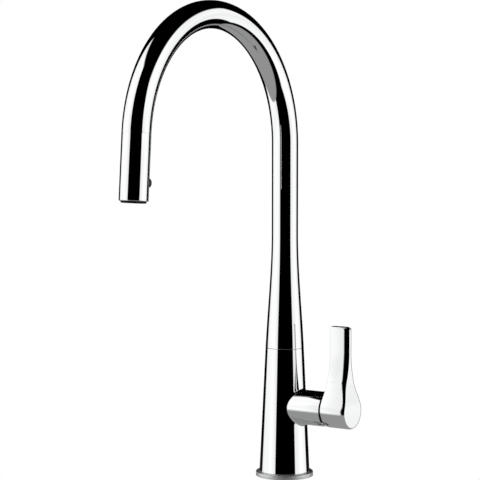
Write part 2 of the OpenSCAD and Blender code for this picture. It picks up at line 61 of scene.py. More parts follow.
# What the rest is measured from, all read off the frame
tipAxis = Vector(joints["spray_pull"]["axis"]).normalized()  # down the spray head
archAngle = math.atan2(-tipAxis.y, tipAxis.z)
seamHeight = joints["spout_swivel"]["pos_m"][2]
valveHeight = joints["handle_turn"]["pos_m"][2]
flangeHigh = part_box("base_flange")[1]
shellLow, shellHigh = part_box("body_shell")
leverLow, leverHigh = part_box("handle_lever")
spoutLow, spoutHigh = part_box("spout_tube")
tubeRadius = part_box("spray_shell")[1].x
archRadius = -(spoutLow.y - tubeRadius * tipAxis.z) / (1 - tipAxis.z)
archCentre = Vector((0, -archRadius, spoutHigh.z - archRadius - tubeRadius))
tipFrame = (
    Matrix.Translation(archCentre)
    @ Matrix.Rotation(archAngle, 4, "X")
    @ Matrix.Translation((0, archRadius, 0))
)  # its +Z runs down the spray head from the end of the arch

straightUp = (0, 0, 1)
axis = 1e-7  # radius of a ring that closes on the axis
slack = 1e-5  # for tests of where a vertex is
overrun = 0.001  # how far a cutter runs past what it cuts


shot = {
    "azimuth": 32.769,  # degrees round from the front, where the camera stands
    "distance": 1.5355,
    "height": 0.31675,
    "look": 34.364,  # azimuth that it looks along
    "down": 3.389,  # degrees below level
    "lens": 121.04,
}


def aimCamera():
    bearing, look, down = (math.radians(shot[key]) for key in ("azimuth", "look", "down"))
    bpy.ops.object.camera_add(
        location=(
            math.sin(bearing) * shot["distance"],
            -math.cos(bearing) * shot["distance"],
            shot["height"],
        )
    )
    camera = bpy.context.object
    ahead = Vector((-math.sin(look) * math.cos(down), math.cos(look) * math.cos(down), -math.sin(down)))
    camera.rotation_mode = "QUATERNION"
    camera.rotation_quaternion = ahead.to_track_quat("-Z", "Y")
    camera.data.lens = shot["lens"]
    camera.data.clip_end = 20
    bpy.context.scene.camera = camera


studio = {
    "panels": (
        {"from": -124, "to": -43.5, "low": -50, "high": 59, "crown": 3},
        {"from": 50.5, "to": 121, "low": -30, "high": 36, "crown": 9},
    ),  # white panels, in degrees round from the camera and above level; crown lowers the corners
    "soft": 1.0,  # degrees that a panel's edge takes
    "bright": (1.16, 1.3),  # at a panel's sides and in its middle
    "floorTone": 0.34,
    "floorMiddle": (-0.179, 0.075),
    "floorReach": 0.5,  # radius of floor that shows in the chrome
    "floorFade": 0.02,
    "floorGrazing": (0.6, 0.86),  # how flat a look along the floor loses it
    "uneven": 0.13,  # how much the panels' light wanders
    "cloud": 2.2,  # how fine the wandering is
    "fill": 0.9,  # light that reaches matt surfaces
}


def addNode(tree, kind, inputs=(), **settings):
    node = tree.nodes.new(kind)
    for key, value in settings.items():
        setattr(node, key, value)
    for key, value in dict(inputs).items():
        if isinstance(value, bpy.types.NodeSocket):
            tree.links.new(value, node.inputs[key])
        else:
            node.inputs[key].default_value = value
    return node


def addMath(tree, operation, first, second=0.0):
    return addNode(tree, "ShaderNodeMath", {0: first, 1: second}, operation=operation).outputs[0]


# Goes from 0 to 1 as value passes edge, or from 1 to 0 where soft is negative
def addStep(tree, value, edge, soft):
    inputs = {"Value": value, "From Min": edge - soft, "From Max": edge + soft}
    return addNode(tree, "ShaderNodeMapRange", inputs, interpolation_type="SMOOTHSTEP").outputs[0]


def addProduct(tree, values):
    product = values[0]
    for value in values[1:]:
        product = addMath(tree, "MULTIPLY", product, value)
    return product


def lightRoom():
    world = bpy.data.worlds.new("studioRoom")
    bpy.context.scene.world = world
    world.use_nodes = True
    tree = world.node_tree
    tree.nodes.clear()
    ray = addNode(tree, "ShaderNodeTexCoord").outputs["Generated"]
    turned = addNode(
        tree,
        "ShaderNodeVectorRotate",
        {"Vector": ray, "Angle": -math.radians(shot["azimuth"])},
        rotation_type="Z_AXIS",
    ).outputs[0]
    parts = addNode(tree, "ShaderNodeSeparateXYZ", {0: turned}).outputs
    toFront = addMath(tree, "MULTIPLY", parts["Y"], -1.0)
    degree = 180 / math.pi
    turn = addMath(tree, "MULTIPLY", addMath(tree, "ARCTAN2", parts["X"], toFront), degree)
    rise = addMath(tree, "MULTIPLY", addMath(tree, "ARCSINE", parts["Z"]), degree)
    soft = studio["soft"]
    cloudInputs = {"Vector": ray, "Scale": studio["cloud"], "Detail": 1.0}
    cloud = addNode(tree, "ShaderNodeTexNoise", cloudInputs).outputs[0]
    inputs = {"Value": cloud, "From Min": 0.3, "From Max": 0.7, "To Min": 1 - studio["uneven"], "To Max": 1.0}
    wander = addNode(tree, "ShaderNodeMapRange", inputs).outputs[0]
    dim, bright = studio["bright"]
    light = 0.0
    for panel in studio["panels"]:
        middle, half = (panel["from"] + panel["to"]) / 2, (panel["to"] - panel["from"]) / 2
        aside = addMath(tree, "DIVIDE", addMath(tree, "SUBTRACT", turn, middle), half)
        aside = addMath(tree, "ABSOLUTE", aside)
        sag = addMath(tree, "MULTIPLY", addMath(tree, "POWER", aside, 2.0), panel["crown"])
        inside = addProduct(
            tree,
            [
                addStep(tree, turn, panel["from"], soft),
                addStep(tree, turn, panel["to"], -soft),
                addStep(tree, rise, panel["low"], soft),
                addStep(tree, addMath(tree, "ADD", rise, sag), panel["high"], -3 * soft),
            ],
        )
        inputs = {"Value": aside, "From Min": 0.0, "From Max": 1.0, "To Min": bright, "To Max": dim}
        glow = addNode(tree, "ShaderNodeMapRange", inputs, interpolation_type="SMOOTHSTEP").outputs[0]
        glow = addMath(tree, "MULTIPLY", glow, wander)
        light = addMath(tree, "ADD", light, addMath(tree, "MULTIPLY", inside, glow))
    lightPath = addNode(tree, "ShaderNodeLightPath").outputs
    inputs = {0: lightPath["Is Diffuse Ray"], 2: light, 3: studio["fill"]}
    filled = addNode(tree, "ShaderNodeMix", inputs).outputs[0]
    shown = addNode(tree, "ShaderNodeMix", {0: lightPath["Is Camera Ray"], 2: filled, 3: 1.0}).outputs[0]
    background = addNode(tree, "ShaderNodeBackground", {"Strength": shown, "Color": (1, 1, 1, 1)})
    output = addNode(tree, "ShaderNodeOutputWorld")
    tree.links.new(background.outputs[0], output.inputs[0])


def layFloor():
    bpy.ops.mesh.primitive_circle_add(vertices=96, radius=1.4, fill_type="NGON")
    floor = bpy.context.object
    floor.name = "paleFloor"
    material = bpy.data.materials.new("paleFloor")
    material.use_nodes = True
    tree = material.node_tree
    tree.nodes.clear()
    lightPath = addNode(tree, "ShaderNodeLightPath").outputs
    place = addNode(tree, "ShaderNodeTexCoord").outputs["Object"]
    grain = addNode(tree, "ShaderNodeTexNoise", {"Vector": place, "Scale": 40.0, "Detail": 4.0}).outputs[0]
    low, high = studio["floorTone"] * 0.95, studio["floorTone"] * 1.05
    tone = addNode(tree, "ShaderNodeMapRange", {"Value": grain, "To Min": low, "To Max": high}).outputs[0]
    middle = (*studio["floorMiddle"], 0)
    away = addNode(tree, "ShaderNodeVectorMath", {0: place, 1: middle}, operation="DISTANCE").outputs["Value"]
    far = addStep(tree, away, studio["floorReach"], studio["floorFade"])
    facing = addNode(tree, "ShaderNodeLayerWeight", {"Blend": 0.5}).outputs["Facing"]
    steep, flat = studio["floorGrazing"]
    grazing = addStep(tree, facing, (steep + flat) / 2, (flat - steep) / 2)
    lost = addMath(tree, "MAXIMUM", far, grazing)
    matt = addNode(tree, "ShaderNodeBsdfDiffuse", {"Color": (0.85, 0.85, 0.85, 1)})
    white = addNode(tree, "ShaderNodeEmission", {"Color": (1, 1, 1, 1), "Strength": 1.0})
    grey = addNode(tree, "ShaderNodeEmission", {"Color": (1, 1, 1, 1), "Strength": tone})
    clear = addNode(tree, "ShaderNodeBsdfTransparent")
    shine = addNode(tree, "ShaderNodeMixShader", {0: lost, 1: grey.outputs[0], 2: clear.outputs[0]})
    under = addNode(tree, "ShaderNodeNewGeometry").outputs["Backfacing"]
    mixed = matt
    for share, other in (
        (lightPath["Is Glossy Ray"], shine),
        (lightPath["Is Camera Ray"], white),
        (under, clear),  # from below, the floor isn't there
    ):
        mixed = addNode(tree, "ShaderNodeMixShader", {0: share, 1: mixed.outputs[0], 2: other.outputs[0]})
    output = addNode(tree, "ShaderNodeOutputMaterial")
    tree.links.new(mixed.outputs[0], output.inputs[0])
    floor.data.materials.append(material)


aimCamera()
lightRoom()
layFloor()
bpy.context.scene.view_settings.view_transform = "Standard"
tell("camera, room and floor")


# A surface whose colour, gloss and height all follow fine noise, between low and high colours
def makeFinish(name, low, high, rough, grain, bump=0.0, metal=0.0, specular=0.5):
    material = bpy.data.materials.new(name)
    material.use_nodes = True
    tree = material.node_tree
    shader = tree.nodes["Principled BSDF"]
    where = addNode(tree, "ShaderNodeTexCoord").outputs["Object"]
    scales = {"fine": (grain, 6.0), "broad": (grain / 12, 2.0)}
    noises = {}
    for key, (scale, detail) in scales.items():
        inputs = {"Vector": where, "Scale": scale, "Detail": detail}
        noises[key] = addNode(tree, "ShaderNodeTexNoise", inputs).outputs[0]
    halves = [addMath(tree, "MULTIPLY", noises[key], 0.5) for key in scales]
    mixed = addMath(tree, "ADD", *halves)
    ends = {"Factor": mixed, 6: (*low, 1), 7: (*high, 1)}
    colours = addNode(tree, "ShaderNodeMix", ends, data_type="RGBA")
    tree.links.new(colours.outputs[2], shader.inputs["Base Color"])
    gloss = addNode(tree, "ShaderNodeMapRange", {"Value": mixed, "To Min": rough[0], "To Max": rough[1]})
    tree.links.new(gloss.outputs[0], shader.inputs["Roughness"])
    shader.inputs["Metallic"].default_value = metal
    shader.inputs["Specular IOR Level"].default_value = specular
    if bump:
        inputs = {"Height": noises["fine"], "Strength": bump, "Distance": 0.0001}
        lift = addNode(tree, "ShaderNodeBump", inputs)
        tree.links.new(lift.outputs[0], shader.inputs["Normal"])
    return material


# Each has its name, two colours, roughness from and to, fineness, bump, metal and specular
finishList = {
    "chrome": ("polishedChrome", (0.80, 0.805, 0.812), (0.835, 0.84, 0.845), (0.011, 0.017), 300, 0, 1),
    "satin": ("satinChrome", (0.70, 0.705, 0.71), (0.78, 0.785, 0.79), (0.46, 0.54), 1400, 0.05, 1),
    "brass": ("turnedBrass", (0.62, 0.45, 0.17), (0.80, 0.62, 0.30), (0.16, 0.34), 700, 0.25, 1),
    "steel": ("machinedSteel", (0.48, 0.49, 0.51), (0.64, 0.65, 0.67), (0.2, 0.38), 900, 0.2, 1),
    "blackPlastic": ("blackPlastic", (0.012, 0.012, 0.013), (0.03, 0.03, 0.032), (0.3, 0.45), 2200, 0.3),
    "blackRubber": ("blackRubber", (0.006, 0.006, 0.007), (0.016, 0.016, 0.017), (0.4, 0.6), 2600, 0.4),
    "jetRubber": (
        "jetRubber",
        (0.002, 0.002, 0.0022),
        (0.007, 0.007, 0.0075),
        (0.55, 0.7),
        2600,
        0.4,
        0,
        0.2,
    ),
    "sealRubber": ("sealRubber", (0.02, 0.02, 0.021), (0.05, 0.05, 0.05), (0.5, 0.7), 1800, 0.4),
    "acetal": ("acetalPlastic", (0.82, 0.82, 0.79), (0.9, 0.9, 0.88), (0.28, 0.42), 1500, 0.15),
    "bluePlastic": ("bluePlastic", (0.06, 0.16, 0.42), (0.09, 0.22, 0.5), (0.3, 0.45), 1500, 0.15),
    "ceramic": ("lappedCeramic", (0.86, 0.86, 0.83), (0.93, 0.93, 0.91), (0.08, 0.2), 1200, 0.05),
}
finishes = {key: makeFinish(*values) for key, values in finishList.items()}


# A woven sleeve: two sets of fine strands that cross; its colour is darker where the weave sinks, which is painted
# shade, mixed with random tone
def makeWeave(name, low, high, strand):
    material = bpy.data.materials.new(name)
    material.use_nodes = True
    tree = material.node_tree
    shader = tree.nodes["Principled BSDF"]
    where = addNode(tree, "ShaderNodeTexCoord").outputs["Object"]
    parts = addNode(tree, "ShaderNodeSeparateXYZ", {0: where}).outputs
    across = addMath(tree, "ADD", parts["X"], parts["Y"])
    weave = []
    for lean in ("ADD", "SUBTRACT"):
        slope = addMath(tree, lean, parts["Z"], across)
        weave.append(addMath(tree, "SINE", addMath(tree, "MULTIPLY", slope, math.tau / strand)))
    crossing = addMath(tree, "MULTIPLY", *weave)
    height = addNode(tree, "ShaderNodeMapRange", {"Value": crossing, "From Min": -1.0}).outputs[0]
    fuzz = addNode(tree, "ShaderNodeTexNoise", {"Vector": where, "Scale": 3000.0, "Detail": 3.0}).outputs[0]
    # painted shade: the colour follows the weave's height, so its sunk cells are darker; fuzz adds random tone
    paintedShadeAndFuzz = addNode(tree, "ShaderNodeMix", {0: 0.3, 2: height, 3: fuzz}).outputs[0]
    ends = {"Factor": paintedShadeAndFuzz, 6: (*low, 1), 7: (*high, 1)}
    colours = addNode(tree, "ShaderNodeMix", ends, data_type="RGBA")
    tree.links.new(colours.outputs[2], shader.inputs["Base Color"])
    lift = addNode(tree, "ShaderNodeBump", {"Height": paintedShadeAndFuzz, "Strength": 0.8, "Distance": 0.0003})
    tree.links.new(lift.outputs[0], shader.inputs["Normal"])
    shader.inputs["Roughness"].default_value = 0.5
    return material


finishes["hoseWeave"] = makeWeave("wovenHose", (0.03, 0.03, 0.032), (0.22, 0.225, 0.23), 0.0016)
nodeFinish = {
    "chrome_body": "chrome",
    "chrome_spout": "chrome",
    "chrome_handle": "chrome",
    "flange_metal": "satin",
    "brass": "brass",
    "steel": "steel",
    "black_plastic": "blackPlastic",
    "button_rubber": "blackRubber",
    "seal_rubber": "sealRubber",
    "white_plastic": "acetal",
    "valve_plastic": "bluePlastic",
    "ceramic": "ceramic",
    "hose_braid": "hoseWeave",
}


def dressNodes():
    for part in frame["record"]["subparts"]:
        node = frame["nodes"][part["node"]]
        node.data.materials.clear()
        node.data.materials.append(finishes[nodeFinish[part["material_slot"]]])


dressNodes()
tell("finishes")


def leaveEdit():
    if bpy.context.object and bpy.context.object.mode != "OBJECT":
        bpy.ops.object.mode_set(mode="OBJECT")


def deselectAll():
    leaveEdit()
    bpy.ops.object.select_all(action="DESELECT")


def focus(piece):
    deselectAll()
    piece.select_set(True)
    bpy.context.view_layer.objects.active = piece


def nameIt(name):
    piece = bpy.context.object
    piece.name = name
    piece.data.name = name
    return piece


# Moves the piece by place, if there is one, and puts where it is into its mesh
def applyPlace(piece, place=None):
    focus(piece)
    if place is not None:
        piece.matrix_world = place @ piece.matrix_world
    bpy.ops.object.transform_apply(location=True, rotation=True, scale=True)


# Selects the vertices (place), edges (both ends) or faces (middle, normal) that pass test, for edit mode
def pick(piece, kind, test):
    focus(piece)
    mesh = piece.data
    for group in (mesh.vertices, mesh.edges, mesh.polygons):
        group.foreach_set("select", [False] * len(group))
    if kind == "VERT":
        for vertex in mesh.vertices:
            vertex.select = test(vertex.co)
    elif kind == "EDGE":
        for edge in mesh.edges:
            edge.select = test(*(mesh.vertices[index].co for index in edge.vertices))
    else:
        for face in mesh.polygons:
            face.select = test(face.center, face.normal)
    bpy.context.tool_settings.mesh_select_mode = (kind == "VERT", kind == "EDGE", kind == "FACE")
    bpy.ops.object.mode_set(mode="EDIT")


def selectEverything():
    bpy.context.tool_settings.mesh_select_mode = (True, False, False)
    bpy.ops.object.mode_set(mode="EDIT")
    bpy.ops.mesh.select_all(action="SELECT")


# Welds doubles and turns the faces outwards
def closeUp(piece):
    focus(piece)
    selectEverything()
    bpy.ops.mesh.remove_doubles(threshold=1e-6)
    bpy.ops.mesh.normals_make_consistent(inside=False)
    leaveEdit()


def applyModifier(piece, kind, **settings):
    focus(piece)
    modifier = piece.modifiers.new(kind.lower(), kind)
    for key, value in settings.items():
        setattr(modifier, key, value)
    bpy.ops.object.modifier_apply(modifier=modifier.name)


# Stacks rings of (radius, height) by extruding a circle, from the first to the last
def turnRings(name, rings, segments=96):
    deselectAll()
    radius, height = rings[0]
    start = (0, 0, height)
    bpy.ops.mesh.primitive_circle_add(vertices=segments, radius=radius, fill_type="NOTHING", location=start)
    piece = nameIt(name)
    applyPlace(piece)
    selectEverything()
    for (radius, height), (nextRadius, nextHeight) in zip(rings, rings[1:]):
        bpy.ops.mesh.extrude_region_move(TRANSFORM_OT_translate={"value": (0, 0, nextHeight - height)})
        grow = nextRadius / radius
        bpy.ops.transform.resize(value=(grow, grow, 1), center_override=(0, 0, nextHeight))
    leaveEdit()
    return piece


# Gives a piece smooth shading and its look, and ties it to its body; with stretch, it is tied to no body and its
# place is put into its mesh
def finishPiece(piece, finish, body, slot, *nodes, angle=30, stretch=None):
    focus(piece)
    bpy.ops.object.shade_smooth_by_angle(angle=math.radians(angle))
    piece.data.materials.clear()
    piece.data.materials.append(finishes[finish])
    if stretch:
        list(body)
        tuple(stretch[0])
        tuple(stretch[1])
        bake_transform(piece)
    else:
        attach(piece, body)
    if nodes:
        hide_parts(*nodes)
    return piece


def smooth(part):
    part = min(1, max(0, part))
    return part * part * (3 - 2 * part)


# Moves each vertex to where place(vertex) puts it
def moveVertices(piece, place):
    leaveEdit()
    for vertex in piece.data.vertices:
        vertex.co = place(vertex.co.copy())
    piece.data.update()


def joinPieces(piece, others):
    focus(piece)
    for other in others:
        other.select_set(True)
    bpy.ops.object.join()
    return piece


# Copies a piece with its own mesh, moved by place
def copyPiece(piece, place):
    focus(piece)
    bpy.ops.object.duplicate()
    copied = bpy.context.object
    applyPlace(copied, place)
    return copied


# Cuts the tool out of the piece, and drops the tool
def cutAway(piece, tool):
    focus(piece)
    applyModifier(piece, "BOOLEAN", operation="DIFFERENCE", object=tool, solver="EXACT")
    deselectAll()
    bpy.data.objects.remove(tool, do_unlink=True)


# A bar to cut with, from start along direction
def drillBit(radius, start, direction, length, sides=48):
    deselectAll()
    direction = Vector(direction).normalized()
    bpy.ops.mesh.primitive_cylinder_add(vertices=sides, radius=radius, depth=length)
    bit = bpy.context.object
    turn = direction.to_track_quat("Z", "Y").to_matrix().to_4x4()
    middle = Vector(start) + direction * length / 2
    applyPlace(bit, Matrix.Translation(middle) @ turn)
    return bit


# A profile with its corners rounded; each corner gives radius, height and how far back the rounding starts
def roundProfile(corners, closed=True, steps=3):
    rings = []
    for index, (radius, height, edge) in enumerate(corners):
        here = Vector((radius, height))
        if not edge:
            rings.append(here)
            continue
        before, after = Vector(corners[index - 1][:2]), Vector(corners[(index + 1) % len(corners)][:2])
        first = here + (before - here).normalized() * edge
        last = here + (after - here).normalized() * edge
        for step in range(steps + 1):
            part = step / steps
            rings.append(first * (1 - part) ** 2 + here * 2 * part * (1 - part) + last * part**2)
    if closed:
        rings.append(rings[0])
    return [tuple(ring) for ring in rings]


def turnPiece(name, corners, segments=64, closed=True):
    piece = turnRings(name, roundProfile(corners, closed), segments)
    closeUp(piece)
    return piece


# Corners of a ring with rounded rims
def ringCorners(outer, inner, low, high, edge):
    return [(inner, low, edge), (outer, low, edge), (outer, high, edge), (inner, high, edge)]


# Wraps a grid round the Z axis, or along a path, with each vertex where place(turn, row) puts it
def wrapGrid(name, sides, rows, place):
    deselectAll()
    bpy.ops.mesh.primitive_grid_add(x_subdivisions=sides, y_subdivisions=rows - 1, size=2)
    piece = nameIt(name)

    def wrap(spot):
        return place((spot.x + 1) / 2 * math.tau, round((spot.y + 1) / 2 * (rows - 1)))

    moveVertices(piece, wrap)
    closeUp(piece)
    return piece


# A helical thread cut into rows of (radius, height, how deep the thread runs there)
def windThread(name, rows, sides, pitch, depth):
    def place(turn, row):
        radius, height, cut = rows[row]
        phase = (height / pitch - turn / math.tau) % 1
        valley = smooth(abs(2 * phase - 1) * 1.5 - 0.25)
        radius -= depth * cut * valley
        return Vector((radius * math.cos(turn), radius * math.sin(turn), height))

    return wrapGrid(name, sides, len(rows), place)


def threadRows(radius, low, high, pitch, perTurn=8):
    count = math.ceil((high - low) / pitch * perTurn)
    rows = []
    for row in range(count + 1):
        height = low + (high - low) * row / count
        rows.append((radius, height, smooth(min(height - low, high - height) / pitch)))
    return rows


# A hexagon with its corners turned off by a 30 degree cone at both ends
def cutHexagon(name, cornerRadius, low, high, turned):
    deselectAll()
    middle = (low + high) / 2
    bpy.ops.mesh.primitive_cylinder_add(
        vertices=6, radius=cornerRadius, depth=high - low, location=(0, 0, middle)
    )
    piece = nameIt(name)
    applyPlace(piece, Matrix.Rotation(math.pi / 2, 4, "Z"))
    pick(piece, "EDGE", lambda first, second: abs(first.z - second.z) > (high - low) / 2)
    bpy.ops.mesh.bevel(offset=cornerRadius / 60, segments=3)
    leaveEdit()
    past, lean = overrun / 2, math.tan(math.pi / 6)
    start = cornerRadius * math.cos(math.pi / 6) - turned
    reach = cornerRadius + past
    climb = (reach - start) * lean
    corners = [(axis, low - past, 0), (start - past / lean, low - past, 0), (reach, low + climb, 0)]
    corners += [(reach, high - climb, 0), (start - past / lean, high + past, 0), (axis, high + past, 0)]
    limit = turnPiece(f"{name}Limit", corners, 96, closed=False)
    applyModifier(piece, "BOOLEAN", operation="INTERSECT", object=limit, solver="EXACT")
    deselectAll()
    bpy.data.objects.remove(limit, do_unlink=True)
    return piece


# Rounds every edge where the surface turns more than 60 degrees
def roundEdges(piece, width):
    limit = math.radians(60)
    applyModifier(piece, "BEVEL", width=width, segments=3, limit_method="ANGLE", angle_limit=limit)


spout = {
    "sides": 160,
    "wall": 0.0013,
    "flareTop": 0.232,  # where the flare has become a straight tube
    "flareRings": 56,
    "archRings": 150,
    "edge": 0.00012,
    "screwRoom": 0.00002,  # round the grub screw at the back
    "screwWay": 0.02,
}
cone = {
    "foot": shellHigh.y,
    "top": 0.01825,  # radius at the seam
}
coneSlope = (cone["top"] - cone["foot"]) / (seamHeight - shellLow.z)


def coneRadius(height):
    return cone["foot"] + coneSlope * (height - shellLow.z)


# A cubic that leaves the body's slope and ends as an upright tube
def flareRadius(height):
    span = spout["flareTop"] - seamHeight
    part = (height - seamHeight) / span
    start = 2 * part**3 - 3 * part**2 + 1
    lean = coneSlope * span * (part**3 - 2 * part**2 + part)
    return cone["top"] * start + lean + tubeRadius * (1 - start)


def bendSpout():
    low = spoutLow.z
    rings = []
    for step in range(spout["flareRings"] + 1):
        height = low + (spout["flareTop"] - low) * step / spout["flareRings"]
        rings.append((flareRadius(height), height))
    rings.append((tubeRadius, (spout["flareTop"] + archCentre.z) / 2))
    rings.append((tubeRadius, archCentre.z))
    piece = turnRings("spoutTube", rings, spout["sides"])
    pick(piece, "VERT", lambda place: place.z > archCentre.z - slack)
    bpy.ops.mesh.spin(steps=spout["archRings"], angle=-archAngle, center=archCentre, axis=(1, 0, 0))
    closeUp(piece)
    applyModifier(piece, "SOLIDIFY", thickness=spout["wall"], offset=-1)
    roundEdges(piece, spout["edge"])
    stopLow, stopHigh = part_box("spout_grub_screw")
    start = (0, stopLow.y, (stopLow.z + stopHigh.z) / 2)
    cutAway(piece, drillBit(stopHigh.x + spout["screwRoom"], start, (0, 1, 0), spout["screwWay"], 40))
    return finishPiece(piece, "chrome", "spout", "chrome_spout", "spout_tube")


bendSpout()
tell("spout")


body = {
    "columns": 160,
    "rowsBelow": 54,  # from the flange to the middle of the boss
    "rowsAbove": 46,
    "window": (29, 18),  # half the columns and rows that the root of the boss takes up
    "patchRings": 5,
    "bossRadius": 0.0164,
    "fillet": 0.0022,
    "filletRings": 8,
    "bossRings": (0.04, 0.5, 1),  # shares of the boss's length
    "wall": 0.00195,
    "edge": 0.00012,
}


# The ball that rolls between cone and boss: its centre, the way to the cone and the way to the boss
def filletArc(turn):
    reach = body["bossRadius"] + body["fillet"]
    across, up = reach * math.sin(turn), reach * math.cos(turn)
    tilt = math.hypot(1, coneSlope)
    away = coneRadius(valveHeight + up) + body["fillet"] * tilt
    centre = Vector((math.sqrt(away**2 - across**2), across, valveHeight + up))
    toCone = -Vector((centre.x / away, centre.y / away, -coneSlope)).normalized()
    toBoss = -Vector((0, math.sin(turn), math.cos(turn)))
    return centre, toCone, toBoss


# Extrudes the selected open rim, and moves each new vertex to place(its turn, where it was)
def extrudeRim(piece, place):
    bpy.ops.object.mode_set(mode="EDIT")
    bpy.ops.mesh.extrude_edges_move()
    leaveEdit()
    turns = piece.data.attributes["turn"].data
    for vertex in piece.data.vertices:
        if vertex.select:
            vertex.co = place(turns[vertex.index].value, vertex.co.copy())


def castBody():
    low, high = shellLow.z, shellHigh.z
    below, above = body["rowsBelow"], body["rowsAbove"]
    heights = [low + (valveHeight - low) * row / below for row in range(below)]
    heights += [valveHeight + (high - valveHeight) * row / above for row in range(above + 1)]
    piece = turnRings("bodyShell", [(coneRadius(height), height) for height in heights], body["columns"])
    wide, tall = body["window"]
    widest = math.tau * wide / body["columns"]
    lowest = valveHeight - (valveHeight - low) * tall / below
    highest = valveHeight + (high - valveHeight) * tall / above

    def inWindow(middle, normal):
        return abs(math.atan2(middle.y, middle.x)) < widest and lowest < middle.z < highest

    pick(piece, "FACE", inWindow)
    bpy.ops.mesh.delete(type="FACE")
    leaveEdit()

    def onWindow(place):
        azimuth = abs(math.atan2(place.y, place.x))
        return azimuth < widest + slack and lowest - slack < place.z < highest + slack

    pick(piece, "EDGE", lambda first, second: onWindow(first) and onWindow(second))
    leaveEdit()
    girth = coneRadius(valveHeight)
    piece.data.attributes.new("turn", "FLOAT", "POINT")
    turns = piece.data.attributes["turn"].data
    for vertex in piece.data.vertices:
        azimuth = math.atan2(vertex.co.y, vertex.co.x)
        turns[vertex.index].value = math.atan2(azimuth * girth, vertex.co.z - valveHeight)

    for ring in range(body["patchRings"]):
        share = 1 / (body["patchRings"] - ring)

        def towardsRoot(turn, place):
            centre, toCone, toBoss = filletArc(turn)
            root = centre + toCone * body["fillet"]
            azimuth = math.atan2(place.y, place.x)
            azimuth += (math.atan2(root.y, root.x) - azimuth) * share
            height = place.z + (root.z - place.z) * share
            radius = coneRadius(height)
            return Vector((radius * math.cos(azimuth), radius * math.sin(azimuth), height))

        extrudeRim(piece, towardsRoot)
    for ring in range(body["filletRings"]):
        share = (ring + 1) / body["filletRings"]

        def roundFillet(turn, place):
            centre, toCone, toBoss = filletArc(turn)
            return centre + toCone.slerp(toBoss, share) * body["fillet"]

        extrudeRim(piece, roundFillet)
    for share in body["bossRings"]:

        def runOut(turn, place):
            start = filletArc(turn)[0].x
            radius = body["bossRadius"]
            across, up = radius * math.sin(turn), radius * math.cos(turn)
            return Vector((start + (shellHigh.x - start) * share, across, valveHeight + up))

        extrudeRim(piece, runOut)
    piece.data.attributes.remove(piece.data.attributes["turn"])
    closeUp(piece)
    applyModifier(piece, "SOLIDIFY", thickness=body["wall"], offset=-1)
    roundEdges(piece, body["edge"])
    return finishPiece(piece, "chrome", "base", "chrome_body", "body_shell")


castBody()
tell("body")


lever = {
    "hubRows": 44,
    "bladeRows": 64,
    "topRows": 5,
    "bladeHalf": 0.0029,
    "bladeWidth": 0.0206,
    "flank": math.radians(19.3),
    "blend": 0.014,
    "narrows": (0.005, 0.027),  # heights above the hub between which it narrows to the blade
    "corner": 0.0016,
    "edge": 0.0007,
    "facetHub": (0.0024, 0.00066),  # width and depth of the facet along the outer edge
    "facetBlade": (0.0036, 0.00098),
    "relief": math.radians(7.5),
    "hold": 0.06,  # share of the facet's width within which its edge stays crisp
    "grub": 0.00205,
    "bore": 0.00405,
    "stemRoom": 0.0001,  # past the stem's end
}
hubRadius = leverHigh.y
leverTop = leverHigh.z - valveHeight
flankFoot = hubRadius * math.sin(lever["flank"])
flankReach = hubRadius * math.cos(lever["flank"]) - lever["bladeHalf"]
flankMeet = flankFoot + flankReach / math.tan(lever["flank"])


# Goes from 0 at the hub's width to 1 at the blade's
def narrowing(height):
    start, end = lever["narrows"]
    return smooth((height - start) / (end - start))


# Half the lever's thickness at a height above the hub's axis
def leverHalf(height):
    slope, blend = math.tan(lever["flank"]), lever["blend"]
    if height > flankMeet + blend:
        return lever["bladeHalf"]
    if height > flankMeet - blend * math.cos(lever["flank"]):
        over = flankMeet + blend - height
        return lever["bladeHalf"] + slope * over**2 / (2 * blend * (1 + math.cos(lever["flank"])))
    return lever["bladeHalf"] + (flankMeet - height) * slope


# Points up one side from the bottom of the hub, each with the way out of the surface
def leverOutline():
    points = []
    last = math.pi / 2 + lever["flank"]
    for row in range(lever["hubRows"] + 1):
        turn = last * row / lever["hubRows"]
        out, up = math.sin(turn), -math.cos(turn)
        points.append((hubRadius * out, hubRadius * up, out, up))
    edge = lever["edge"] * 2
    start, end = points[-1][1], leverTop - edge
    for row in range(1, lever["bladeRows"] + 1):
        height = start + (end - start) * row / lever["bladeRows"]
        slope = (leverHalf(height + slack) - leverHalf(height - slack)) / (2 * slack)
        size = math.hypot(1, slope)
        points.append((leverHalf(height), height, 1 / size, -slope / size))
    for row in range(1, lever["topRows"] + 1):
        turn = math.pi / 2 * row / lever["topRows"]
        out, up = math.cos(turn), math.sin(turn)
        points.append((lever["bladeHalf"] - edge + edge * out, end + edge * up, out, up))
    return points


